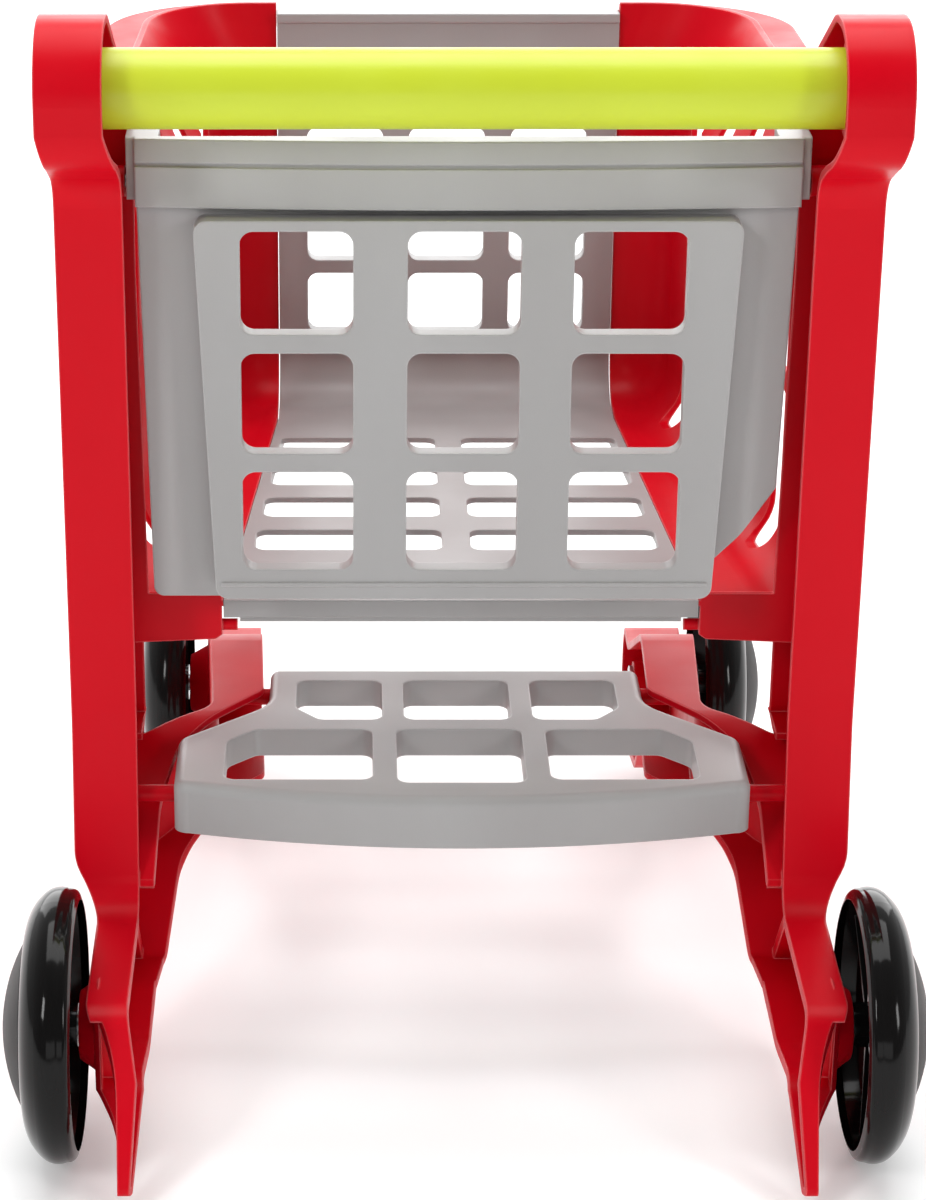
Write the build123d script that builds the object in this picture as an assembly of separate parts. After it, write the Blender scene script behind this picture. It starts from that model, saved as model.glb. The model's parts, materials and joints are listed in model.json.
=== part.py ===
"""A child's toy shopping trolley, moulded in plastic.

Frame: +X to the right of whoever pushes it, +Y forward, +Z up, millimetres.
The origin is on the floor, under the middle of the trolley.
"""
import os
from math import radians, sin, tan

from build123d import *

# ---------------------------------------------------------------- driving dimensions
WHEEL_RADIUS = 54
WHEEL_FACE = 21  # from a wheel's inner rim to the flat its cap sits on
AXLE_Y = 169  # the two axles stand this far behind and in front of the origin
AXLE_RADIUS = 4
RUNNING_GAP = 0.06  # radial clearance of a wheel or the gate on its pin
FIT_GAP = 0.02  # radial clearance of a fixed pin in its socket

WALL = 2.5  # skin of every moulding
FLANGE = 3.0  # edge flange of the side frames

POST_INNER_X = 131
POST_OUTER_X = 157
EAR_INNER_X = 135
EAR_OUTER_X = 160
LEG_INNER_X = 125  # inner edge of the leg's lower flange
LEG_OUTER_X = 144  # the leg is thinner than the post, to leave room for the wheel
AXLE_HEAD_X = 138  # the rear axle's head sits this deep in the leg
REAR_WHEEL_X = 151  # inner rim of the rear wheels
FRONT_WHEEL_X = 123  # inner rim of the front wheels
ARM_INNER_X = 82
ARM_OUTER_X = 103
ARM_TIP_INNER_X = 89.5  # the arms spread a little towards the front wheels
ARM_TIP_OUTER_X = 116
ARM_TOP = 130

HANDLE_Y = -104
HANDLE_Z = 411.5
HANDLE_RADIUS = 15
EAR_TOP = 438
EAR_REAR_Y = -133

RIM_Z = 379
FLOOR_Z = 191
WALL_PLANE_Y = -64  # rear face of the rails and of the strips beside the gate
BASKET_FRONT_Y = 203
TUB_CORNER = 22  # radius along the bottom of the basket
FLARE_Z = 335  # above this height the basket walls lean outwards
PANEL_HALF = 79  # half width of the grey front panel
FLOOR_HALF_REAR = 97
PANEL_FOOT = FLOOR_Z + TUB_CORNER + 1  # the front panel starts above the floor's rounded end
SEAM = 0.2  # gap between mouldings that meet edge to edge

GATE_HINGE_Y = -72
GATE_HINGE_Z = 368
GATE_TOP = 387.5
GATE_BOTTOM = 200
GATE_FACE_Y = -81  # rear face of the gate's flat sides
GATE_PANEL_Y = -92  # rear face of the raised panel
GATE_PIN_RADIUS = 2.5

TRAY_TOP = 129.6

KNEE_LOW = 66  # the post narrows to the leg between these heights
KNEE_HIGH = 92


# ---------------------------------------------------------------- drawing helpers
def rounded_edges(corners):
    """Edges of a closed outline. Each corner is (u, v) or (u, v, radius)."""
    count = len(corners)
    stops = []
    for index, corner in enumerate(corners):
        here = Vector(corner[0], corner[1])
        radius = corner[2] if len(corner) > 2 else 0
        if radius == 0:
            stops.append((here, None, here))
            continue
        before = Vector(*corners[index - 1][:2])
        after = Vector(*corners[(index + 1) % count][:2])
        to_before = (before - here).normalized()
        to_after = (after - here).normalized()
        half_angle = radians(to_before.get_angle(to_after)) / 2
        reach = radius / tan(half_angle)
        middle_reach = radius / sin(half_angle) - radius
        to_centre = (to_before + to_after).normalized()
        stops.append((here + to_before * reach, here + to_centre * middle_reach, here + to_after * reach))
    edges = []
    for index, (start, middle, end) in enumerate(stops):
        if middle is not None:
            edges.append(ThreePointArc(start, middle, end))
        next_start = stops[(index + 1) % count][0]
        if (next_start - end).length > 1e-6:
            edges.append(Line(end, next_start))
    return edges


def outline(corners):
    """Flat face inside a rounded outline, on the XY plane."""
    return Face(Wire(rounded_edges(corners)))


def along_x(face, low, high):
    """Solid from x = low to high, where the face's axes are Y and Z."""
    plane = Plane(origin=(low, 0, 0), x_dir=(0, 1, 0), z_dir=(1, 0, 0))
    return extrude(plane * face, amount=high - low, dir=(1, 0, 0))


def along_y(face, low, high):
    """Solid from y = low to high, where the face's axes are X and Z."""
    plane = Plane(origin=(0, low, 0), x_dir=(1, 0, 0), z_dir=(0, -1, 0))
    return extrude(plane * face, amount=high - low, dir=(0, 1, 0))


def along_z(face, low, high):
    """Solid from z = low to high, where the face's axes are X and Y."""
    return extrude(Pos(0, 0, low) * face, amount=high - low, dir=(0, 0, 1))


def block(x_range, y_range, z_range):
    """Box between two corners."""
    size = [high - low for low, high in (x_range, y_range, z_range)]
    middle = [(high + low) / 2 for low, high in (x_range, y_range, z_range)]
    return Pos(*middle) * Box(*size)


def rod_x(radius, low, high, y, z):
    """Cylinder along X."""
    return Pos((low + high) / 2, y, z) * Rot(0, 90, 0) * Cylinder(radius, high - low)


def ring_x(outer, inner, low, high, y, z):
    """Tube along X."""
    return rod_x(outer, low, high, y, z) - rod_x(inner, low - 1, high + 1, y, z)


def mirrored(shape):
    """The same shape on the left side."""
    return mirror(shape, about=Plane.YZ)


def shrunk(face, distance):
    """The outline drawn in by a distance."""
    return offset(face, amount=-distance, kind=Kind.INTERSECTION)


# ---------------------------------------------------------------- side frames
def side_profile():
    """Side view (Y, Z) of one frame: ear, post, knee, skid tail, leg and arm."""
    hub_reach = 24
    return outline([
        (EAR_REAR_Y, EAR_TOP, 27),
        (-94, EAR_TOP, 30),
        (4, RIM_Z + 8, 50),
        (46, RIM_Z),
        (46, RIM_Z - 9),
        (-38, RIM_Z - 9, 14),
        (-38, ARM_TOP, 5),
        (48, ARM_TOP, 36),
        (150, 82, 60),
        (AXLE_Y + hub_reach, 78, 22),
        (AXLE_Y + hub_reach, 30, 22),
        (150, 31, 40),
        (62, 57, 30),
        (26, 88, 25),
        (-34, 88, 16),
        (-54, 74, 20),
        (-80, 35, 7),
        (-150, 33, 30),
        (-186, 38, 14),
        (-215.5, 6, 2),
        (-223, 9, 3),
        (-191, 72, 12),
        (-106, 73, 16),
        (-95, 150, 60),
        (-98.5, 374, 16),
        (EAR_REAR_Y, 390, 17),
    ])


def post_section(skin):
    """Back view (X, Z) of the post, drawn in on the outer side by the skin's thickness."""
    return outline([
        (POST_INNER_X, 0),
        (LEG_OUTER_X - skin, 0),
        (LEG_OUTER_X - skin, KNEE_LOW, 12),
        (POST_OUTER_X - skin, KNEE_HIGH, 22),
        (POST_OUTER_X - skin, 385),
        (EAR_OUTER_X - skin, 400),
        (EAR_OUTER_X - skin, 460),
        (EAR_INNER_X, 460),
        (EAR_INNER_X, 400),
        (POST_INNER_X, 385),
    ])


def arm_band(skin):
    """Top view (X, Y) of the arm, which bends inwards from the post to the front wheel."""
    overlap = 0 if skin == 0 else 3
    return outline([
        (POST_OUTER_X + 5, -230),
        (POST_OUTER_X + 5, -56 - skin),
        (POST_INNER_X - skin, -53 - skin, 14),
        (ARM_OUTER_X - skin, -32 - skin, 14),
        (ARM_TIP_OUTER_X - skin, 205),
        (ARM_TIP_INNER_X - overlap, 205),
        (ARM_INNER_X - overlap, -14, 10),
        (117 - overlap, -60, 12),
        (123 - overlap, -84, 20),
        (LEG_INNER_X - overlap, -104),
        (LEG_INNER_X - overlap, -230),
    ])


def arm_region():
    """Side view (Y, Z) of all that lies below the top of the arm, which slopes down behind the bend."""
    return outline([
        (-240, -10),
        (215, -10),
        (215, ARM_TOP),
        (-46, ARM_TOP, 40),
        (-82, 112, 30),
        (-103, 84),
        (-240, 84),
    ])


def leg_section(skin):
    """Back view (X, Z) of the post's foot and the leg."""
    return outline([
        (0, 0),
        (LEG_OUTER_X - skin, 0),
        (LEG_OUTER_X - skin, KNEE_LOW, 12),
        (POST_OUTER_X - skin, KNEE_HIGH, 22),
        (POST_OUTER_X - skin, 142),
        (0, 142),
    ])


def upper_frame(profile, skin):
    """Ear and post, down to the top of the arm."""
    blank = along_x(profile, 60, EAR_OUTER_X + 5)
    section = along_y(post_section(skin), -240, 215)
    return (blank & section) - along_x(arm_region(), 50, EAR_OUTER_X + 10)


def lower_frame(profile, region, skin):
    """Arm, foot of the post, and leg."""
    blank = along_x(profile, 60, EAR_OUTER_X + 5) & along_x(region, 50, EAR_OUTER_X + 10)
    return blank & along_y(leg_section(skin), -240, 215) & along_z(arm_band(skin), -5, ARM_TOP + 5)


def leg_slant():
    """Space inside the leg: its top flange is narrower than its lower one."""
    face = outline([(50, 30), (LEG_INNER_X, 34), (POST_INNER_X, 72), (POST_INNER_X, 90), (50, 90)])
    return along_y(face, -240, -103)


def open_channels():
    """The frame as channels that are open towards the middle of the trolley."""
    profile = side_profile()
    inner_profile = shrunk(profile, FLANGE)
    solid = upper_frame(profile, 0) + (lower_frame(profile, arm_region(), 0) - leg_slant())
    hollow = upper_frame(inner_profile, WALL) + lower_frame(inner_profile, shrunk(arm_region(), FLANGE), WALL)
    post_end = block((POST_INNER_X, POST_OUTER_X - 1), (-62, -40), (ARM_TOP - 2, ARM_TOP + 1)) & solid
    return solid - hollow + post_end + (leg_ribs() & solid)


def leg_ribs():
    """Cross walls inside the open leg, one above the knee and one before the tail."""
    over_knee = outline([(-111, 68), (-107, 71), (-76, 36), (-80, 33)])
    at_tail = outline([(-190, 70), (-184, 70), (-178, 34), (-184, 34)])
    inner = POST_INNER_X + 1
    ribs = along_x(over_knee, inner, LEG_OUTER_X - 1)
    return ribs + along_x(at_tail, inner, LEG_OUTER_X - 1)


def tail_blade():
    """Cuts the skid tail down to a thin blade."""
    start = -186
    tip = -226
    blade_x = POST_INNER_X + 4
    past_leg = LEG_OUTER_X + 20
    outside = outline([
        (LEG_OUTER_X + 1, start),
        (past_leg, start),
        (past_leg, tip),
        (blade_x - 1, tip),
        (blade_x, start - 14, 20),
    ])
    inside = outline([(LEG_INNER_X - 9, start), (LEG_INNER_X, start), (POST_INNER_X - 1, tip), (LEG_INNER_X - 9, tip)])
    return along_z(outside, 0, 68) + along_z(inside, -5, 68)


def hub_bosses(y, web_x, end_x, inner_x):
    """Tapered boss outside the leg and a plain one inside it, round one axle."""
    taper = Pos((web_x + end_x) / 2, y, WHEEL_RADIUS) * Rot(0, 90, 0) * Cone(19, 13.5, end_x - web_x)
    return taper + rod_x(10, inner_x, web_x + 0.5, y, WHEEL_RADIUS)


def ear_socket():
    """Short collar inside the ear that holds the end of the handle tube."""
    return ring_x(19, HANDLE_RADIUS + FIT_GAP, EAR_INNER_X + 4, EAR_OUTER_X - 1, HANDLE_Y, HANDLE_Z)


def rail_and_strip():
    """Flat wall beside and under the gate: the strip up the post and the rail to the floor."""
    strip = outline([
        (126.8, FLOOR_Z - 2),
        (129, 330),
        (128.5, RIM_Z + 22),
        (EAR_INNER_X + 2, RIM_Z + 22),
        (POST_OUTER_X - 1, RIM_Z - 20),
        (POST_OUTER_X - 1, FLOOR_Z - 2),
    ])
    rail = outline([
        (FLOOR_HALF_REAR + SEAM, 176),
        (FLOOR_HALF_REAR + SEAM, FLOOR_Z + 3),
        (POST_OUTER_X - 1, FLOOR_Z + 3),
        (POST_OUTER_X - 1, 171),
        (133, 172.5, 4),
        (FLOOR_HALF_REAR + 3, 174, 3),
    ])
    walls = along_y(strip, WALL_PLANE_Y, WALL_PLANE_Y + WALL) + along_y(rail, WALL_PLANE_Y, WALL_PLANE_Y + WALL)
    underside = block((FLOOR_HALF_REAR + 6, POST_INNER_X + 2), (WALL_PLANE_Y, -40), (FLOOR_Z - WALL, FLOOR_Z))
    return walls + underside


def rail_peg():
    """Small peg on the end of the rail, under the floor's rear bar."""
    return rod_x(2.4, FLOOR_HALF_REAR - 6, FLOOR_HALF_REAR + 4, WALL_PLANE_Y + 4, 179)


def tray_pegs():
    """Round pegs that hold the lower tray by its skirt, two on each frame."""
    rear = rod_x(3.5, 112.5, POST_OUTER_X - 1, -88, 116)
    front = rod_x(3.5, 77, ARM_OUTER_X, -4, 122)
    return rear + front


def gate_boss():
    """Boss in the post that carries a hinge pin of the gate."""
    pin = GATE_PIN_RADIUS + FIT_GAP
    return ring_x(6, pin, POST_INNER_X + 0.3, POST_OUTER_X - 1, GATE_HINGE_Y, GATE_HINGE_Z)


def side_frame_blank():
    """One side frame without its part of the basket."""
    frame = open_channels() - tail_blade()
    frame = frame + ear_socket()
    frame = frame + hub_bosses(-AXLE_Y, LEG_OUTER_X - 1, REAR_WHEEL_X - 0.4, AXLE_HEAD_X)
    frame = frame + hub_bosses(AXLE_Y, ARM_TIP_OUTER_X - 3, FRONT_WHEEL_X - 0.4, ARM_TIP_INNER_X + 3)
    frame = frame + rail_and_strip() + rail_peg() + tray_pegs() + gate_boss()
    return frame


# ---------------------------------------------------------------- basket shell
def wall_outline(spread, lean, front_y, radius):
    """Top view of the basket: half width 141.5 at the back, narrower by lean at the front."""
    rear_y = WALL_PLANE_Y
    half_rear = 141.5 + spread
    half_front = half_rear - lean
    return [
        (-half_rear, rear_y),
        (half_rear, rear_y),
        (half_front, front_y + spread, radius + spread),
        (-half_front, front_y + spread, radius + spread),
    ]


def tub(spread, top):
    """Solid inside the basket's walls, or with the skin's thickness as spread, around them."""
    lean = 40
    lower = along_z(outline(wall_outline(spread, lean, BASKET_FRONT_Y, 27)), FLOOR_Z - spread, FLARE_Z)
    bottom = lower.edges().group_by(Axis.Z)[0]
    rear = bottom.sort_by(Axis.Y)[0]
    lower = fillet([edge for edge in bottom if edge != rear], TUB_CORNER + spread)
    neck = Pos(0, 0, FLARE_Z) * outline(wall_outline(spread, lean, BASKET_FRONT_Y, 27))
    mouth = Pos(0, 0, top) * outline(wall_outline(spread, 7, BASKET_FRONT_Y + 2, 44))
    return lower + loft([neck, mouth], ruled=True)


def rim():
    """Wide flange round the basket's mouth, with a hanging edge."""
    half_rear = POST_OUTER_X
    half_front = 153
    front = BASKET_FRONT_Y + 10
    outer = [(-half_rear, -40), (half_rear, -40), (half_front, front, 55), (-half_front, front, 55)]
    skin = WALL
    inner = [
        (-half_rear + skin, -41),
        (half_rear - skin, -41),
        (half_front - skin, front - skin, 55 - skin),
        (-half_front + skin, front - skin, 55 - skin),
    ]
    plate = along_z(outline(outer), RIM_Z - 2 - skin, RIM_Z - 2)
    skirt = along_z(outline(outer), RIM_Z - 12, RIM_Z - 2) - along_z(outline(inner), RIM_Z - 13, RIM_Z - 1)
    return plate + skirt


def wall_slots():
    """Upright slots through the side walls, in two rows."""
    slot_width = 18
    pitch = 38.4
    upper_row = (272, 363)
    lower_row = (194, 264)
    slots = []
    for index in range(5):
        y = -9 + pitch * index
        for low, high in (upper_row, lower_row):
            face = outline([
                (y - slot_width / 2, low, 6),
                (y + slot_width / 2, low, 6),
                (y + slot_width / 2, high, 6),
                (y - slot_width / 2, high, 6),
            ])
            slots.append(along_x(face, 90, 150))
    return slots


def basket_shell():
    """The whole basket as one skin, which the mouldings then share out."""
    outer = tub(WALL, RIM_Z)
    inner = tub(0, RIM_Z + 0.01)
    shell = outer + rim() - inner
    lip_clearance = block((-130, 130), (WALL_PLANE_Y - 60, WALL_PLANE_Y), (150, 420))
    return shell - lip_clearance


def floor_zone(spread):
    """Space that the grey floor takes out of the red sides."""
    corners = [
        (-FLOOR_HALF_REAR - spread, WALL_PLANE_Y - 10),
        (FLOOR_HALF_REAR + spread, WALL_PLANE_Y - 10),
        (PANEL_HALF + spread, 165),
        (PANEL_HALF + spread, 230),
        (-PANEL_HALF - spread, 230),
        (-PANEL_HALF - spread, 165),
    ]
    return along_z(outline(corners), FLOOR_Z - 20, PANEL_FOOT)


def panel_zone(spread):
    """Space that the grey front panel takes out of the red sides."""
    half = PANEL_HALF + spread
    return block((-half, half), (BASKET_FRONT_Y - 25, 240), (PANEL_FOOT, RIM_Z + 10))


def side_frame():
    """Right side frame with its half of the basket."""
    half = basket_shell() & block((5, 200), (WALL_PLANE_Y, 240), (150, 420))
    half = half - floor_zone(SEAM) - panel_zone(SEAM)
    for slot in wall_slots():
        half = half - slot
    frame = side_frame_blank() + half
    frame = frame - rod_x(AXLE_RADIUS + FIT_GAP, 70, 160, -AXLE_Y, WHEEL_RADIUS)
    frame = frame - rod_x(AXLE_RADIUS + FIT_GAP, 70, 125, AXLE_Y, WHEEL_RADIUS)
    return frame


# ---------------------------------------------------------------- grey basket parts
def lattice_holes(columns, rows, width, height, radius):
    """Rounded rectangles (u, v) at each column and row."""
    faces = []
    for u in columns:
        for v in rows:
            faces.append(rounded_box_face(u, v, width, height, radius))
    return faces


def rounded_box_face(u, v, width, height, radius):
    """Rounded rectangle centred on (u, v)."""
    half_width = width / 2
    half_height = height / 2
    return outline([
        (u - half_width, v - half_height, radius),
        (u + half_width, v - half_height, radius),
        (u + half_width, v + half_height, radius),
        (u - half_width, v + half_height, radius),
    ])


def front_panel():
    """Upright lattice panel at the front of the basket, with a cap along the top."""
    pitch_x = 47.5
    pitch_z = 35.2
    top_row = 342.4
    back = BASKET_FRONT_Y - 2
    front = BASKET_FRONT_Y + 6
    half = PANEL_HALF - SEAM
    face = outline([(-half, PANEL_FOOT + SEAM), (half, PANEL_FOOT + SEAM), (half, RIM_Z - 6), (-half, RIM_Z - 6)])
    plate = along_y(face, back, front) - along_y(shrunk(face, WALL), back + WALL, front + 1)
    columns = [-pitch_x, 0, pitch_x]
    rows = [top_row - pitch_z * index for index in range(4)]
    for collar in lattice_holes(columns, rows, 40, 33.5, 7):
        plate = plate + along_y(collar, back, front)
    for hole in lattice_holes(columns, rows, 35.5, 29, 5):
        plate = plate - along_y(hole, back - 1, front + 1)
    cap = block((-half, half), (back - 1.5, front + 1), (RIM_Z - 8, RIM_Z - 4))
    return plate + cap


def basket_floor():
    """Slatted floor with a rear bar, rounded up at the front to meet the panel."""
    shell = tub(WALL, RIM_Z) - tub(0, RIM_Z + 0.01)
    floor = shell & floor_zone(-SEAM) & block((-200, 200), (WALL_PLANE_Y, 300), (150, PANEL_FOOT))
    slat_pitch = 40
    gap = 24
    for index in range(5):
        y = -35 + slat_pitch * index
        for side in (-1, 1):
            half_here = FLOOR_HALF_REAR - 8 - (y + 60) * 0.06
            face = rounded_box_face(side * (half_here / 2 + 3), y, half_here - 6, gap, 5)
            floor = floor - along_z(face, FLOOR_Z - 10, FLOOR_Z + 10)
    bar = block((-FLOOR_HALF_REAR + 0.4, FLOOR_HALF_REAR - 0.4), (WALL_PLANE_Y, WALL_PLANE_Y + 6), (183.5, FLOOR_Z))
    lip = block((-FLOOR_HALF_REAR + 7, FLOOR_HALF_REAR - 7), (WALL_PLANE_Y + 3, WALL_PLANE_Y + 6), (180.5, 184))
    keel = block((-3, 3), (WALL_PLANE_Y + 4, 170), (183.5, FLOOR_Z))
    floor = floor + bar + lip + keel
    for side in (-1, 1):
        edge = outline([
            (side * (FLOOR_HALF_REAR - 1.5), WALL_PLANE_Y + 4),
            (side * (FLOOR_HALF_REAR - 4.5), WALL_PLANE_Y + 4),
            (side * (PANEL_HALF - 4.5), 165),
            (side * (PANEL_HALF - 1.5), 165),
        ])
        floor = floor + along_z(edge, 184, FLOOR_Z)
    return floor


# ---------------------------------------------------------------- rear gate
def gate_sides():
    """Flat back plate of the gate. The right lower corner is cut away in a curve."""
    top_half = 127.2
    bottom_half = 123.3
    face = outline([
        (-bottom_half, GATE_BOTTOM, 4),
        (97, GATE_BOTTOM),
        (99, 215, 4),
        (110, 226, 40),
        (bottom_half, 246, 3),
        (top_half, GATE_TOP - 1),
        (-top_half, GATE_TOP - 1),
    ])
    return along_y(face, GATE_FACE_Y, GATE_FACE_Y + WALL)


def gate_band():
    """Bowed band across the top, split by a groove, with an end tab at each side."""
    half = 127
    low = 361
    bow = 5
    depth = 3
    groove_z = 377.5
    back = GATE_FACE_Y - 2

    def bowed(drop, thickness):
        start = Vector(-half, back - drop)
        middle = Vector(0, back - drop - bow)
        end = Vector(half, back - drop)
        edges = [
            ThreePointArc(start, middle, end),
            Line(end, Vector(half, back + thickness)),
            Line(Vector(half, back + thickness), Vector(-half, back + thickness)),
            Line(Vector(-half, back + thickness), start),
        ]
        return Face(Wire(edges))

    lower = along_z(bowed(1.5, depth), low, groove_z - 0.8)
    neck = along_z(bowed(0, depth), low, GATE_TOP)
    upper = along_z(bowed(0.8, depth), groove_z + 0.8, GATE_TOP)
    band = lower + neck + upper
    for side in (-1, 1):
        band = band + gate_end_lug(side)
    return band


def gate_end_lug(side):
    """End lug with the hinge bore. Its upper part closes against the strip on the post."""
    face = outline([
        (GATE_FACE_Y - 1, 363, 1.5),
        (GATE_HINGE_Y + 5.2, 362.5, 5),
        (GATE_HINGE_Y + 5.2, 373, 3),
        (WALL_PLANE_Y - 0.4, 377, 1),
        (WALL_PLANE_Y - 0.4, GATE_TOP, 1),
        (GATE_FACE_Y - 1, GATE_TOP, 1.5),
    ])
    low, high = sorted((side * 118, side * 130.3))
    return along_x(face, low, high)


def gate_panel():
    """Raised 3 x 3 lattice panel, open behind, with a collar round each hole."""
    top = 357.5
    bottom = 203
    back = GATE_PANEL_Y
    front = GATE_FACE_Y + WALL
    face = outline([(-98, bottom, 5), (98, bottom, 5), (105, top, 5), (-105, top, 5)])
    panel = along_y(face, back, front) - along_y(shrunk(face, WALL), back + WALL, front + 1)
    ledge = block((-96, 96), (back - 0.8, back + 1), (208.5, 210))
    columns = [-65.6, -1.2, 62.4]
    rows = [332.9, 284.4, 235.9]
    for collar in lattice_holes(columns, rows, 48, 45.5, 8):
        panel = panel + along_y(collar, back, back + 8)
    openings = [along_y(hole, back - 2, front + 2) for hole in lattice_holes(columns, rows, 43.5, 41, 5.5)]
    return panel + ledge, openings


def rear_gate():
    """The gate as one moulding."""
    panel, openings = gate_panel()
    behind_panel = along_y(
        outline([(-95.5, GATE_BOTTOM - 1), (95.5, GATE_BOTTOM - 1), (102.5, 355), (-102.5, 355)]),
        GATE_FACE_Y - 1,
        GATE_FACE_Y + WALL + 1,
    )
    gate = gate_sides() - behind_panel
    gate = gate + gate_band() + panel
    for opening in openings:
        gate = gate - opening
    bore = GATE_PIN_RADIUS + RUNNING_GAP
    gate = gate - rod_x(bore, -140, 140, GATE_HINGE_Y, GATE_HINGE_Z)
    return gate


def gate_pin():
    """Right hinge pin, fixed in the post."""
    return rod_x(GATE_PIN_RADIUS, 119, 152, GATE_HINGE_Y, GATE_HINGE_Z)


# ---------------------------------------------------------------- lower tray
def tray_outline(inset):
    """Top view of the tray: wide and bowed towards the back, narrow between the arms."""
    near_half = 116 - inset
    far_half = 79.5 - inset
    near_y = -109 + inset
    far_y = 9.5 - inset
    bow = 14
    shoulder = [
        (near_half, near_y, 6 - inset),
        (near_half, -62, 8),
        (far_half, -27, 24),
        (far_half, far_y, 4),
    ]
    corners = shoulder + [(-x, y, radius) for x, y, radius in reversed(shoulder)]
    edges = rounded_edges(corners)
    straight = max(edges, key=lambda edge: edge.length if abs(edge.center().Y - near_y) < 0.5 else 0)
    edges.remove(straight)
    start = straight.position_at(0)
    end = straight.position_at(1)
    edges.append(ThreePointArc(start, Vector(0, near_y - bow), end))
    return Face(Wire(edges))


def tray_holes(grow):
    """Six openings: two rows of three, the outer ones cut at the corner by the tray's shape."""
    radius = 5 + grow / 2
    far = (-45, -4)
    near = (-104, -55)
    centre_far = rounded_box_face(0, sum(far) / 2, 45 + grow, far[1] - far[0] + grow, radius)
    centre_near = rounded_box_face(0, (near[0] - 3 + near[1]) / 2, 52 + grow, near[1] - near[0] + 3 + grow, radius)
    edge = grow / 2
    faces = [centre_far, centre_near]
    for side in (-1, 1):
        far_corners = [
            (side * (31.5 - edge), far[0] - edge, radius),
            (side * (58 + edge), far[0] - edge, radius),
            (side * (68 + edge), far[0] + 12, 7),
            (side * (68 + edge), far[1] + edge, radius),
            (side * (31.5 - edge), far[1] + edge, radius),
        ]
        near_corners = [
            (side * (35.8 - edge), near[0] - edge, radius),
            (side * (96 + edge), near[0] - edge, radius),
            (side * (96 + edge), near[1] - 12, 8),
            (side * (84 + edge), near[1] + edge, radius),
            (side * (35.8 - edge), near[1] + edge, radius),
        ]
        faces.append(outline(far_corners))
        faces.append(outline(near_corners))
    return faces


def lower_tray():
    """Tray between the arms, with a deep skirt, hole collars and sockets for the pegs."""
    near_drop = 21.6
    collar_drop = 12
    tray = along_z(tray_outline(0), TRAY_TOP - near_drop, TRAY_TOP)
    top_edges = tray.edges().group_by(Axis.Z)[-1]
    tray = fillet(top_edges, 4)
    tray = tray - along_z(tray_outline(WALL), TRAY_TOP - near_drop - 1, TRAY_TOP - WALL)
    shallow = block((-150, 150), (-58, 30), (90, TRAY_TOP - 15))
    tray = tray - shallow
    for collar in tray_holes(5):
        tray = tray + along_z(collar, TRAY_TOP - collar_drop, TRAY_TOP - 0.5)
    for hole in tray_holes(0):
        tray = tray - along_z(hole, 90, TRAY_TOP + 5)
    for side in (-1, 1):
        low, high = sorted((side * 100, side * 120))
        tray = tray - rod_x(3.7, low, high, -88, 116)
        low, high = sorted((side * 70, side * 90))
        tray = tray - rod_x(3.7, low, high, -4, 122)
    return tray


# ---------------------------------------------------------------- handle
def handle_tube():
    """Plain tube between the ears."""
    half = EAR_OUTER_X - WALL - 0.3
    return ring_x(HANDLE_RADIUS, HANDLE_RADIUS - 2, -half, half, HANDLE_Y, HANDLE_Z)


def handle_plug():
    """Right plug inside the tube's end, with a cross wall."""
    inner = HANDLE_RADIUS - 2 - FIT_GAP
    high = EAR_OUTER_X - WALL - 0.3
    low = high - 20
    return ring_x(inner, inner - 2.5, low, high, HANDLE_Y, HANDLE_Z) + rod_x(inner, low, low + 3, HANDLE_Y, HANDLE_Z)


# ---------------------------------------------------------------- wheels
def wheel_profile():
    """Half section of a wheel: (distance from the inner rim, radius)."""
    radius = WHEEL_RADIUS
    face = WHEEL_FACE
    bore = AXLE_RADIUS + RUNNING_GAP
    edges = [
        Line((0, 49), (0.6, 51)),
        ThreePointArc((0.6, 51), (1.6, 52.6), (3.2, 53.2)),
        Line((3.2, 53.2), (4.4, 53.4)),
        ThreePointArc((4.4, 53.4), (8.2, radius), (face - 7.6, 51.87)),
        ThreePointArc((face - 7.6, 51.87), (face - 3, 46.4), (face - 0.5, 38.5)),
        Line((face - 0.5, 38.5), (face, 35)),
        Line((face, 35), (face, 31.1)),
        Line((face, 31.1), (face - 6, 31.1)),
        Line((face - 6, 31.1), (face - 6, bore)),
        Line((face - 6, bore), (0.6, bore)),
        Line((0.6, bore), (0.6, 8.5)),
        Line((0.6, 8.5), (face - 9, 9.5)),
        Line((face - 9, 9.5), (face - 9, 31.5)),
        Line((face - 9, 31.5), (face - 3.9, 34)),
        Line((face - 3.9, 34), (face - 3.7, 38)),
        ThreePointArc((face - 3.7, 38), (face - 6, 45), (face - 11, 49.4)),
        Line((face - 11, 49.4), (3.5, 50.4)),
        Line((3.5, 50.4), (0, 49)),
    ]
    return Face(Wire(edges))


def wheel(y, inner_x):
    """Hollow wheel on the right side, open towards the trolley, with ribs inside."""
    plane = Plane(origin=(inner_x, y, WHEEL_RADIUS), x_dir=(1, 0, 0), z_dir=(0, -1, 0))
    turned = revolve(plane * wheel_profile(), axis=Axis((inner_x, y, WHEEL_RADIUS), (1, 0, 0)))
    rib_count = 6
    for index in range(rib_count):
        rib = Pos(inner_x + WHEEL_FACE - 11.5, y, WHEEL_RADIUS) * Rot(360 / rib_count * index, 0, 0)
        turned = turned + rib * Pos(0, 0, 29) * Box(6, 2, 41.6)
    return turned


def dome(rise, edge_radius, edge_x):
    """Arc of a sphere centred on the axle, from the edge in to the middle."""
    sphere = (edge_radius ** 2 + rise ** 2) / (2 * rise)
    half_radius = edge_radius / 2
    middle_x = edge_x + rise - sphere + (sphere ** 2 - half_radius ** 2) ** 0.5
    return ThreePointArc((edge_x, edge_radius), (middle_x, half_radius), (edge_x + rise, 0))


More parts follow.
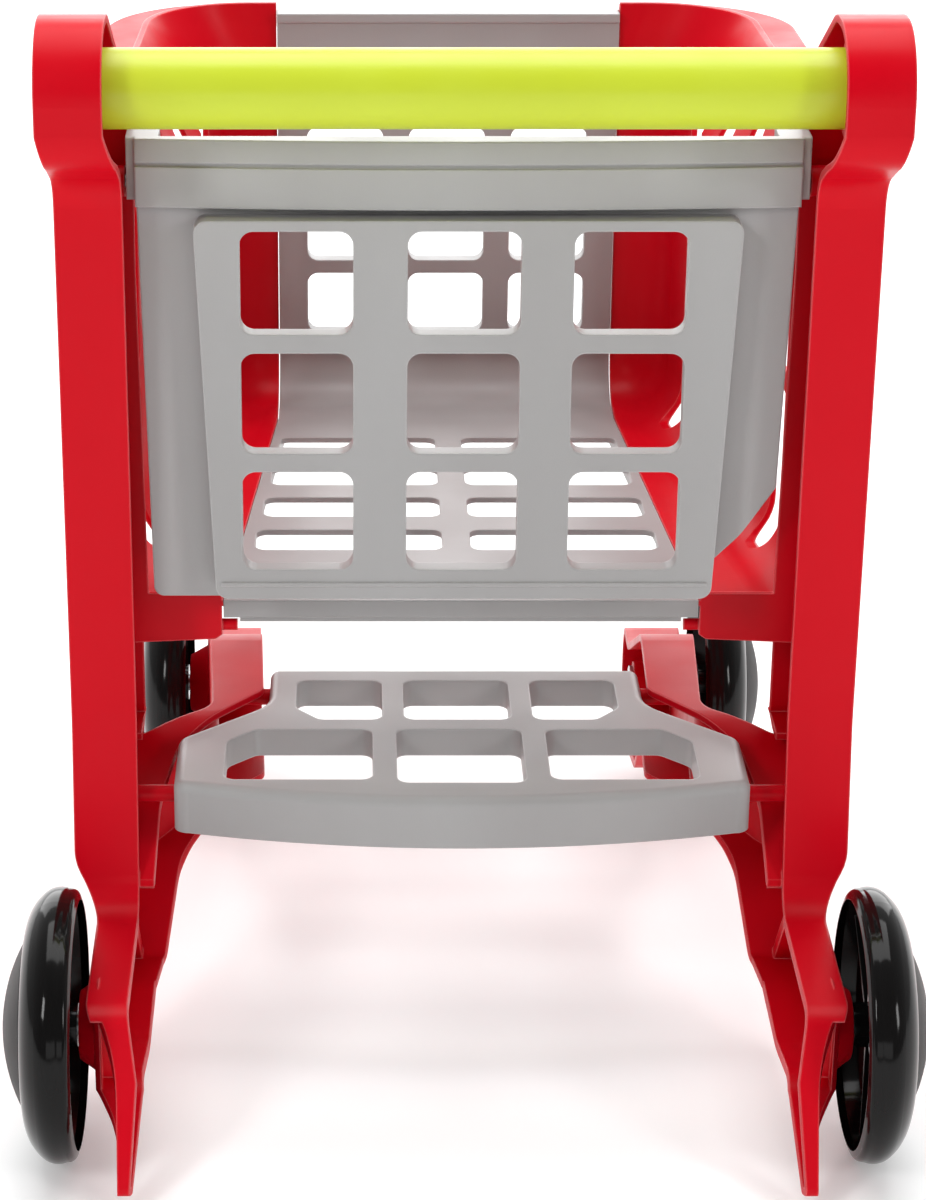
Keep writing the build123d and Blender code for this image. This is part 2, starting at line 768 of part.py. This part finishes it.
def hubcap(y, inner_x):
    """Domed cap that snaps into the wheel's outer face."""
    rim_x = inner_x + WHEEL_FACE + 0.1
    height = 8.9
    edges = [
        dome(height, 34, 0),
        Line((height, 0), (height - 2.2, 0)),
        dome(height - 0.8, 29.6, -1.4),
        Line((-1.4, 29.6), (-4.6, 29.6)),
        Line((-4.6, 29.6), (-4.6, 31)),
        Line((-4.6, 31), (0, 31)),
        Line((0, 31), (0, 34)),
    ]
    plane = Plane(origin=(rim_x, y, WHEEL_RADIUS), x_dir=(1, 0, 0), z_dir=(0, -1, 0))
    return revolve(plane * Face(Wire(edges)), axis=Axis((rim_x, y, WHEEL_RADIUS), (1, 0, 0)))


def axle(y, start_x, inner_x):
    """Stub axle with a flat head inside the leg."""
    head = rod_x(8, start_x - 2, start_x, y, WHEEL_RADIUS)
    return head + rod_x(AXLE_RADIUS, start_x, inner_x + WHEEL_FACE - 2.7, y, WHEEL_RADIUS)


def axle_clip(y, inner_x):
    """Push-on washer that keeps the wheel on its axle."""
    low = inner_x + WHEEL_FACE - 5.6
    return ring_x(8.5, AXLE_RADIUS + FIT_GAP, low, low + 1.2, y, WHEEL_RADIUS)


# ---------------------------------------------------------------- assembly
def make_parts():
    """Every piece of the trolley by its name."""
    right_frame = side_frame()
    pieces = {
        "side_frame_right": right_frame,
        "side_frame_left": mirrored(right_frame),
        "front_panel": front_panel(),
        "basket_floor": basket_floor(),
        "rear_gate": rear_gate(),
        "lower_tray": lower_tray(),
        "handle_tube": handle_tube(),
    }
    both_sides = {"gate_pin": gate_pin(), "handle_plug": handle_plug()}
    for place, y, start_x, wheel_x in (
        ("rear", -AXLE_Y, AXLE_HEAD_X, REAR_WHEEL_X),
        ("front", AXLE_Y, ARM_TIP_INNER_X + 3, FRONT_WHEEL_X),
    ):
        both_sides[place + "_wheel"] = wheel(y, wheel_x)
        both_sides[place + "_hubcap"] = hubcap(y, wheel_x)
        both_sides[place + "_axle"] = axle(y, start_x, wheel_x)
        both_sides[place + "_axle_clip"] = axle_clip(y, wheel_x)
    for name, shape in both_sides.items():
        pieces[name + "_right"] = shape
        pieces[name + "_left"] = mirrored(shape)
    return pieces


os.makedirs("parts", exist_ok=True)
for node, shape in make_parts().items():
    export_step(shape, "parts/" + node + ".step")
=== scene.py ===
import json
from math import radians

import bpy
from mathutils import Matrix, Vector

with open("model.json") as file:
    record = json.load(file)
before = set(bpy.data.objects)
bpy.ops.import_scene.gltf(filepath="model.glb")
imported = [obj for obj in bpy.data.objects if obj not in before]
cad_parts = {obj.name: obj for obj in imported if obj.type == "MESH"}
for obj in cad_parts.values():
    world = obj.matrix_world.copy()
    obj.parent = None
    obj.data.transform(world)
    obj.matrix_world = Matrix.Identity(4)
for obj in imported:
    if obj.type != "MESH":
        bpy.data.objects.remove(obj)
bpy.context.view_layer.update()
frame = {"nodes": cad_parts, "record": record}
nodes = frame["nodes"]
scene = bpy.context.scene

CAMERA_PLACE = (-0.0443, -1.307, 0.6934)
CAMERA_PITCH = 22  # degrees below level
CAMERA_LENS = 99  # mm, with a 36 mm sensor along the picture's height
CAMERA_SHIFT = 0.0925  # share of the picture's height; the lens itself points a little left of the trolley
FLOOR_HALF = 6  # m, from the middle of the floor to its edge
PALE_GLOW = 0.75  # strength of the studio's light from beyond the trolley
DIM_GLOW = 0.16  # the same from behind the camera
FLOW_SCALE = 11  # streaks per metre, about, where the plastic flowed into the mould
FLOW_STRETCH = (1, 1, 0.3)  # the streaks run upright
WAVE_SCALE = 16  # slow waves in the moulded faces
HANDLING_SCALE = 30  # patches rubbed smoother or duller by hands
GRAIN_SCALE = 1500  # fine grain of the mould's surface
WAVE_HEIGHT = 0.0004  # m
NOISE_LOW = 0.25  # nearly all of a noise texture lies between these two values
NOISE_HIGH = 0.75
FLAT = 0.995  # cosine between the rounded and the true normal where the painted edge highlight starts to show
CORNER = 0.75  # the same where the painted edge highlight shows in full


# ---------------------------------------------------------------- camera, light, floor
def add_camera():
    """Camera fitted to the photo."""
    data = bpy.data.cameras.new("camera")
    data.sensor_width = 36
    data.lens = CAMERA_LENS
    data.shift_x = CAMERA_SHIFT
    camera = bpy.data.objects.new("camera", data)
    camera.location = CAMERA_PLACE
    camera.rotation_euler = (radians(90 - CAMERA_PITCH), 0, 0)
    scene.collection.objects.link(camera)
    scene.camera = camera


def add_softbox(name, place, target, size, watts):
    """Rectangular area light at place that faces target."""
    data = bpy.data.lights.new(name, "AREA")
    data.shape = "RECTANGLE"
    data.size = size[0]
    data.size_y = size[1]
    data.energy = watts
    lamp = bpy.data.objects.new(name, data)
    lamp.location = place
    direction = Vector(target) - Vector(place)
    lamp.rotation_euler = direction.to_track_quat("-Z", "Y").to_euler()
    scene.collection.objects.link(lamp)


def add_lights():
    """Large soft lights above and behind the trolley, and small ones on the camera's side."""
    middle = (0, 0, 0.2)
    add_softbox("overhead_softbox", (0, 0.3, 1.9), middle, size=(1.8, 1.4), watts=34)
    add_softbox("back_softbox", (0, 2.6, 1.0), middle, size=(4.0, 1.8), watts=60)
    add_softbox("left_softbox", (-1.2, -1.5, 1.3), middle, size=(0.35, 0.6), watts=12)
    add_softbox("right_softbox", (1.5, -1.4, 1.0), middle, size=(0.35, 0.6), watts=10)
    add_softbox("low_softbox", (0, -1.5, 0.25), middle, size=(1.0, 0.3), watts=1.2)


def add_studio_world():
    """Pale studio that is brighter beyond the trolley than behind the camera."""
    world = bpy.data.worlds.new("studio")
    world.use_nodes = True
    tree = world.node_tree
    direction = tree.nodes.new("ShaderNodeTexCoord")
    split = tree.nodes.new("ShaderNodeSeparateXYZ")
    tree.links.new(direction.outputs["Generated"], split.inputs[0])
    glow = tree.nodes.new("ShaderNodeMapRange")
    glow.inputs["From Min"].default_value = -0.6
    glow.inputs["From Max"].default_value = 0.8
    glow.inputs["To Min"].default_value = DIM_GLOW
    glow.inputs["To Max"].default_value = PALE_GLOW
    tree.links.new(split.outputs["Y"], glow.inputs["Value"])
    tree.links.new(glow.outputs["Result"], tree.nodes["Background"].inputs["Strength"])
    tree.nodes["Background"].inputs["Color"].default_value = (1, 1, 1, 1)
    scene.world = world
    scene.view_settings.view_transform = "Standard"


def add_floor():
    """Plain pale floor with a faint glow of its own, which keeps it near white."""
    half = FLOOR_HALF
    mesh = bpy.data.meshes.new("floor")
    corners = [(-half, -half, 0), (half, -half, 0), (half, half, 0), (-half, half, 0)]
    mesh.from_pydata(corners, [], [(0, 1, 2, 3)])
    floor = bpy.data.objects.new("floor", mesh)
    scene.collection.objects.link(floor)
    paint = bpy.data.materials.new("pale_floor")
    paint.use_nodes = True
    shader = paint.node_tree.nodes["Principled BSDF"]
    shader.inputs["Base Color"].default_value = (0.88, 0.88, 0.88, 1)
    shader.inputs["Roughness"].default_value = 0.8
    shader.inputs["Specular IOR Level"].default_value = 0.1
    shader.inputs["Emission Color"].default_value = (1, 1, 1, 1)
    shader.inputs["Emission Strength"].default_value = 0.2
    mesh.materials.append(paint)


# ---------------------------------------------------------------- materials
class Plastic:
    """Builds one moulded-plastic material step by step."""

    def __init__(self, name, roughness):
        self.material = bpy.data.materials.new(name)
        self.material.use_nodes = True
        self.tree = self.material.node_tree
        self.shader = self.tree.nodes["Principled BSDF"]
        self.shader.inputs["Roughness"].default_value = roughness
        self.place = self.add("ShaderNodeTexCoord").outputs["Object"]

    def add(self, kind, **settings):
        """New shader node with the given settings."""
        node = self.tree.nodes.new(kind)
        for key, value in settings.items():
            setattr(node, key, value)
        return node

    def link(self, source, target):
        self.tree.links.new(source, target)

    def noise(self, scale, detail, stretch=(1, 1, 1)):
        """Noise fixed to the piece itself."""
        mapping = self.add("ShaderNodeMapping")
        mapping.inputs["Scale"].default_value = stretch
        self.link(self.place, mapping.inputs["Vector"])
        texture = self.add("ShaderNodeTexNoise")
        texture.inputs["Scale"].default_value = scale
        texture.inputs["Detail"].default_value = detail
        self.link(mapping.outputs["Vector"], texture.inputs["Vector"])
        return texture.outputs["Fac"]

    def ramp(self, source, low, high, low_value, high_value):
        """Maps source smoothly from low..high to the two values."""
        node = self.add("ShaderNodeMapRange", interpolation_type="SMOOTHSTEP")
        node.inputs["From Min"].default_value = low
        node.inputs["From Max"].default_value = high
        node.inputs["To Min"].default_value = low_value
        node.inputs["To Max"].default_value = high_value
        self.link(source, node.inputs["Value"])
        return node.outputs["Result"]

    def mix(self, share, first, second):
        """Colour that goes from first to second as share goes from 0 to 1."""
        node = self.add("ShaderNodeMix", data_type="RGBA")
        share_socket, colour_sockets, result = node.inputs[0], node.inputs[6:8], node.outputs[2]
        self.link(share, share_socket)
        for socket, colour in zip(colour_sockets, (first, second)):
            if isinstance(colour, tuple):
                socket.default_value = colour + (1,)
            else:
                self.link(colour, socket)
        return result

    def rounded_normal(self, radius):
        """Normal that is rounded off at each edge, as a mould's corners are."""
        node = self.add("ShaderNodeBevel", samples=6)
        node.inputs["Radius"].default_value = radius
        return node.outputs["Normal"]

    def edge_share(self, radius):
        """Goes from 0 on the flat to 1 on the outermost edge of a corner; it places the painted edge
        highlight.
        """
        flat = self.add("ShaderNodeNewGeometry").outputs["Normal"]
        dot = self.add("ShaderNodeVectorMath", operation="DOT_PRODUCT")
        self.link(self.rounded_normal(radius), dot.inputs[0])
        self.link(flat, dot.inputs[1])
        return self.ramp(dot.outputs["Value"], FLAT, CORNER, 0.0, 1.0)

    def bump(self, height, distance, normal):
        """Normal raised by height times distance (m) on top of another normal."""
        node = self.add("ShaderNodeBump")
        node.inputs["Distance"].default_value = distance
        self.link(height, node.inputs["Height"])
        self.link(normal, node.inputs["Normal"])
        return node.outputs["Normal"]


def moulded(name, body, streak, edge_highlight, roughness, spread=0.07, grain=0.00002, gleam=0.3, edge_radius=0.0012):
    """Moulded plastic: body colour with flow streaks, edges painted paler as a painted highlight, fine
    grain and uneven gloss.
    """
    plastic = Plastic(name, roughness)
    plastic.shader.inputs["Specular IOR Level"].default_value = gleam
    flow = plastic.ramp(plastic.noise(FLOW_SCALE, 3, FLOW_STRETCH), NOISE_LOW, NOISE_HIGH, 0, 1)
    colour = plastic.mix(flow, body, streak)
    # painted highlight: the colour turns paler along each rounded edge, where the edge would catch the
    # light
    edge_highlight_share = plastic.edge_share(edge_radius)
    colour = plastic.mix(edge_highlight_share, colour, edge_highlight)
    plastic.link(colour, plastic.shader.inputs["Base Color"])
    handling = plastic.noise(HANDLING_SCALE, 6)
    gloss = plastic.ramp(handling, NOISE_LOW, NOISE_HIGH, roughness - spread, roughness + spread)
    plastic.link(gloss, plastic.shader.inputs["Roughness"])
    soft = plastic.rounded_normal(edge_radius)
    waves = plastic.bump(plastic.noise(WAVE_SCALE, 0), WAVE_HEIGHT, soft)
    fine = plastic.bump(plastic.noise(GRAIN_SCALE, 2), grain, waves)
    plastic.link(fine, plastic.shader.inputs["Normal"])
    return plastic


def red_plastic():
    body = (0.62, 0.0008, 0.0105)
    streak = (0.575, 0.0006, 0.0085)
    # painted highlight: pale pink colour for the red's rounded edges
    edge_highlight = (0.88, 0.16, 0.17)
    return moulded("red_plastic", body, streak, edge_highlight, roughness=0.36, gleam=0.12)


def grey_plastic():
    body = (0.385, 0.381, 0.380)
    streak = (0.345, 0.336, 0.334)
    # painted highlight: pale grey colour for the grey's rounded edges
    edge_highlight = (0.58, 0.57, 0.57)
    return moulded("grey_plastic", body, streak, edge_highlight, roughness=0.40, grain=0.00003, gleam=0.4)


def lime_plastic():
    body = (0.57, 0.68, 0.035)
    streak = (0.545, 0.64, 0.028)
    # painted highlight: pale lime colour for the lime's rounded edges
    edge_highlight = (0.76, 0.84, 0.20)
    return moulded("lime_plastic", body, streak, edge_highlight, roughness=0.36, gleam=0.4)


def black_gloss():
    body = (0.0045, 0.0042, 0.0042)
    streak = (0.006, 0.0055, 0.0055)
    # painted highlight: grey line along the black gloss edges
    edge_highlight = (0.12, 0.12, 0.12)
    return moulded("black_gloss", body, streak, edge_highlight, roughness=0.11, spread=0.03, grain=0.000003,
                   gleam=0.16, edge_radius=0.0004)


def black_dull():
    body = (0.030, 0.028, 0.028)
    # painted highlight: grey line along the dull black edges
    streak = (0.036, 0.033, 0.033)
    edge_highlight = (0.08, 0.08, 0.08)
    return moulded("black_dull", body, streak, edge_highlight, roughness=0.5, grain=0.00005, gleam=0.2,
                   edge_radius=0.0005)


def steel():
    body = (0.5, 0.5, 0.51)
    streak = (0.44, 0.44, 0.46)
    # painted highlight: paler colour along the steel's edges
    edge_highlight = (0.6, 0.6, 0.6)
    plastic = moulded("steel", body, streak, edge_highlight, roughness=0.35, grain=0.00001, gleam=0.5,
                      edge_radius=0.0003)
    plastic.shader.inputs["Metallic"].default_value = 1.0
    return plastic


def paint_nodes():
    """Gives each piece the finish that its material slot names."""
    makers = [red_plastic, grey_plastic, lime_plastic, black_gloss, black_dull, steel]
    finishes = {maker.__name__: maker().material for maker in makers}
    for entry in frame["record"]["subparts"]:
        piece = nodes[entry["node"]]
        for slot in piece.material_slots:
            slot.material = finishes[entry["material_slot"]]


add_camera()
add_lights()
add_studio_world()
add_floor()
paint_nodes()
